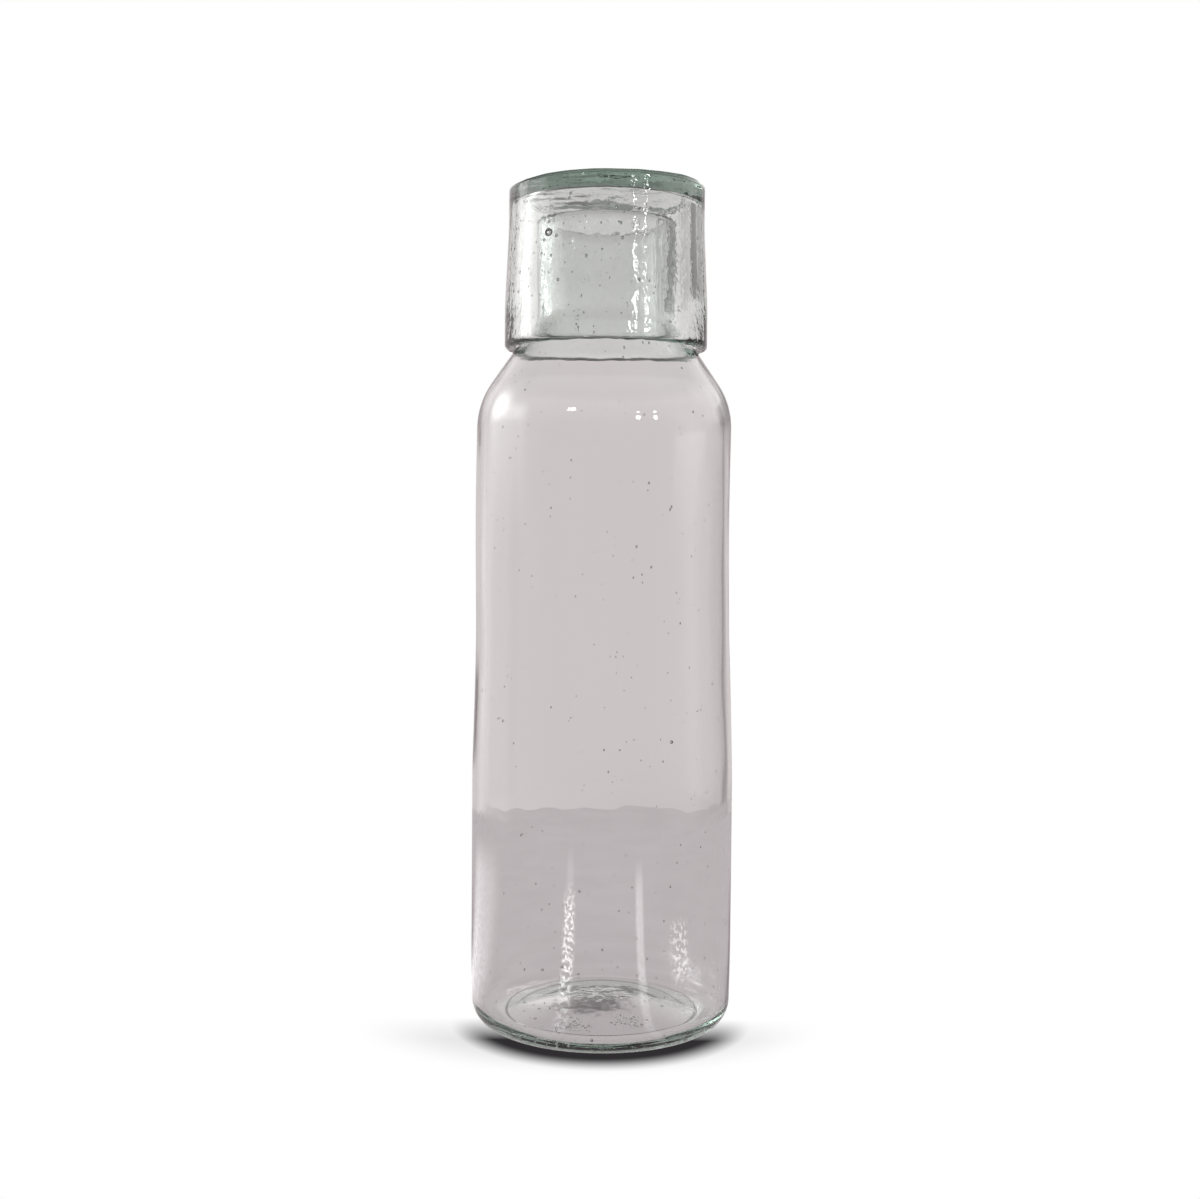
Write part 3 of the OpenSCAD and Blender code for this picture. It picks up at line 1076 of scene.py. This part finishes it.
def table_material(stage):
    """The table's tone, a little uneven, with painted shade under the base, a painted pool of light that
    the base gathers, and the lamps' glare painted in as reflections.
    """
    material, tree, colour = glowing("table_top")
    spot = tree.node("ShaderNodeTexCoord").outputs["Object"]
    cloud = tree.noise(spot, stage.mottle_width, detail=2.0)
    darkest = 1 - stage.table_mottle * NOISE_MIDDLE
    uneven = tree.maths("MULTIPLY_ADD", cloud, stage.table_mottle, darkest)
    # Painted shade under the base, whose edge wavers
    grain = tree.noise(spot, stage.under_grain, detail=2.0)
    bits = tree.maths("SUBTRACT", grain, NOISE_MIDDLE)
    wavering = tree.product(bits, stage.under_broken)
    outside_under_shade = faded(
        tree, stage.under_core, stage.under_reach, stage.under_place, wavering=wavering
    )
    light = tree.ramp(outside_under_shade, 0.0, 1.0, start=1 - stage.under_shade)
    # Painted pool of light that the base would gather onto the table
    outside_light_pool = faded(
        tree, stage.caught_core, stage.caught_reach, stage.caught_place, stage.caught_width, wavering
    )
    caught = tree.ramp(outside_light_pool, 0.0, 1.0, start=1 + stage.caught_light)
    tone = tree.scaled(stage.table_colour, tree.product(light, caught, uneven))
    # The lamps' glares are painted reflections, shown only where the glass mirrors the table
    mirrored = first_mirrored(tree, tree.node("ShaderNodeLightPath").outputs, TABLE_DEPTH)
    for glare in GLARES.values():
        glow = tree.product(glare_mask(tree, spot, glare, stage.streak_grain), mirrored)
        tone = brightened(tree, tone, glow)
    tree.tree.links.new(tone, colour)
    return material


DISC_STEPS = 1440
# Waves along the edge of a disc: how many go round it, and where they start
EDGE_WAVES = ((76, 0), (29, 1))


def level_disc(name, radius, height, wave, material):
    """A level disc round the axis, whose edge wavers by the length wave."""
    mesh = bpy.data.meshes.new(name)
    rim = []
    for turned in (math.tau * i / DISC_STEPS for i in range(DISC_STEPS)):
        waves = sum(math.sin(count * turned + start) for count, start in EDGE_WAVES)
        reach = radius + wave * waves / len(EDGE_WAVES)
        rim.append((reach * math.sin(turned), -reach * math.cos(turned), height))
    mesh.from_pydata(rim, [], [range(DISC_STEPS)])
    mesh.materials.append(material)
    sheet = bpy.data.objects.new(name, mesh)
    bpy.context.scene.collection.objects.link(sheet)
    return sheet


def soft_panel_group():
    """Mask of one soft-edged panel in the sky round the object, by its place and size."""
    group = bpy.data.node_groups.new("soft panel", "ShaderNodeTree")
    tree = Tree(group)
    tree.socket("View", "NodeSocketVector")
    for name in ("Azimuth", "Elevation", "Half Width", "Half Height", "Softness"):
        tree.socket(name, "NodeSocketFloat")
    tree.socket("Mask", "NodeSocketFloat", in_out="OUTPUT")
    given = tree.node("NodeGroupInput").outputs
    aside = past_azimuth(tree, given["View"], given["Azimuth"])
    elevation = tree.maths("ARCSINE", tree.parts(given["View"])["Z"])
    above = tree.maths("SUBTRACT", elevation, given["Elevation"])
    across = within(tree, aside, given["Half Width"], given["Softness"])
    upright = within(tree, above, given["Half Height"], given["Softness"])
    tree.node("NodeGroupOutput", {0: tree.product(across, upright)})
    return group


def soft_panel(tree, group, view, panel):
    """One panel's mask times its strength."""
    degrees = {
        "Azimuth": panel.azimuth,
        "Elevation": panel.elevation,
        "Half Width": panel.width / 2,
        "Half Height": panel.height / 2,
        "Softness": panel.softness,
    }
    angles = {name: math.radians(angle) for name, angle in degrees.items()}
    mask = tree.node("ShaderNodeGroup", {"View": view} | angles, node_tree=group).outputs[0]
    return tree.product(mask, panel.strength)


def room_light(stage):
    """White behind the object for the camera, and the room's tones and lamps for the glass."""
    world = bpy.data.worlds.new("room")
    bpy.context.scene.world = world
    world.use_nodes = True
    world.node_tree.nodes.clear()
    tree = Tree(world.node_tree)
    view = tree.node("ShaderNodeTexCoord").outputs["Generated"]
    parts = tree.parts(view)
    ahead = tree.ramp(parts["Y"], FRONT_START, FRONT_FULL)
    low, high = math.sin(stage.ceiling_start), math.sin(stage.ceiling_full)
    up = tree.ramp(parts["Z"], low, high, soft=True)
    level = blended(tree, ahead, stage.wall_colour, stage.front_colour)
    room = blended(tree, up, level, stage.ceiling_colour)
    group = soft_panel_group()
    for panel in DARKS.values():
        room = blended(tree, soft_panel(tree, group, view, panel), room, stage.door_colour)
    path = tree.node("ShaderNodeLightPath").outputs
    mirrored = first_mirrored(tree, path, ROOM_DEPTH)
    straight = seen_straight(tree, path)
    held_back = tree.ramp(straight, 0.0, 1.0, start=1.0, end=stage.window_share)
    for panels, shown in ((LIGHTS, 1.0), (WINDOWS, held_back), (LAMPS, mirrored)):
        for panel in panels.values():
            glow = tree.product(soft_panel(tree, group, view, panel), shown)
            room = brightened(tree, room, glow)
    lit = tree.node("ShaderNodeBackground", {"Color": room})
    plain = tree.node("ShaderNodeBackground", {"Color": (*WHITE, 1.0)})
    both = tree.node(
        "ShaderNodeMixShader", {0: path["Is Camera Ray"], 1: lit.outputs[0], 2: plain.outputs[0]}
    )
    tree.node("ShaderNodeOutputWorld", {"Surface": both.outputs[0]})


class CARAFE_OT_stage(bpy.types.Operator):
    """Sets the camera, the pale floor and the soft light"""

    bl_idname = "carafe.stage"
    bl_label = "Stage"

    def execute(self, context):
        scene = context.scene
        stage = scene.carafe_scene.stage
        camera = bpy.data.objects.new("camera", bpy.data.cameras.new("camera"))
        camera.data.lens = stage.lens
        camera.data.sensor_width = stage.sensor
        camera.location = stage.eye
        facing = Vector((0, math.cos(stage.look_down), -math.sin(stage.look_down)))
        upright = facing.to_track_quat("-Z", "Y")
        rolled = upright @ Quaternion((0, 0, 1), stage.roll)
        camera.rotation_euler = rolled.to_euler()
        scene.collection.objects.link(camera)
        scene.camera = camera
        floor = level_disc("floor", stage.floor_size, 0.0, 0.0, floor_material(stage))
        floor.visible_transmission = False
        floor.visible_glossy = False
        table = level_disc(
            "table", stage.table_size, -stage.table_drop, stage.table_wave, table_material(stage)
        )
        table.visible_camera = False
        room_light(stage)
        scene.view_settings.view_transform = "Standard"
        cycles = scene.cycles
        cycles.max_bounces = MOST_CROSSINGS
        cycles.transmission_bounces = MOST_CROSSINGS
        cycles.glossy_bounces = MOST_MIRRORS
        cycles.blur_glossy = 0.0
        cycles.caustics_reflective = True
        cycles.caustics_refractive = True
        return {"FINISHED"}


class CARAFE_PT_panel(bpy.types.Panel):
    """Builds the carafe and its tumbler one piece at a time"""

    bl_label = "Carafe"
    bl_space_type = "VIEW_3D"
    bl_region_type = "UI"
    bl_category = "Carafe"

    def draw(self, context):
        made = context.scene.carafe_scene
        for operator in OPERATORS:
            self.layout.operator(operator.bl_idname)
        for group in (made.carafe, made.tumbler, made.blown, made.look, made.stage):
            box = self.layout.box()
            for name in group.bl_rna.properties.keys():
                if name not in ("rna_type", "name"):
                    box.prop(group, name)


OPERATORS = (CARAFE_OT_stage, CARAFE_OT_carafe, CARAFE_OT_tumbler)
GROUPS = (CarafeSizes, TumblerSizes, BlownGlass, GlassLook, StageSizes, CarafeScene)


def register():
    for one in (*GROUPS, *OPERATORS, CARAFE_PT_panel):
        bpy.utils.register_class(one)
    bpy.types.Scene.carafe_scene = PointerProperty(type=CarafeScene)


def unregister():
    del bpy.types.Scene.carafe_scene
    for one in reversed((*GROUPS, *OPERATORS, CARAFE_PT_panel)):
        bpy.utils.unregister_class(one)


def main():
    register()
    bpy.ops.carafe.stage()
    bpy.ops.carafe.carafe()
    bpy.ops.carafe.tumbler()


if __name__ == "__main__":
    main()
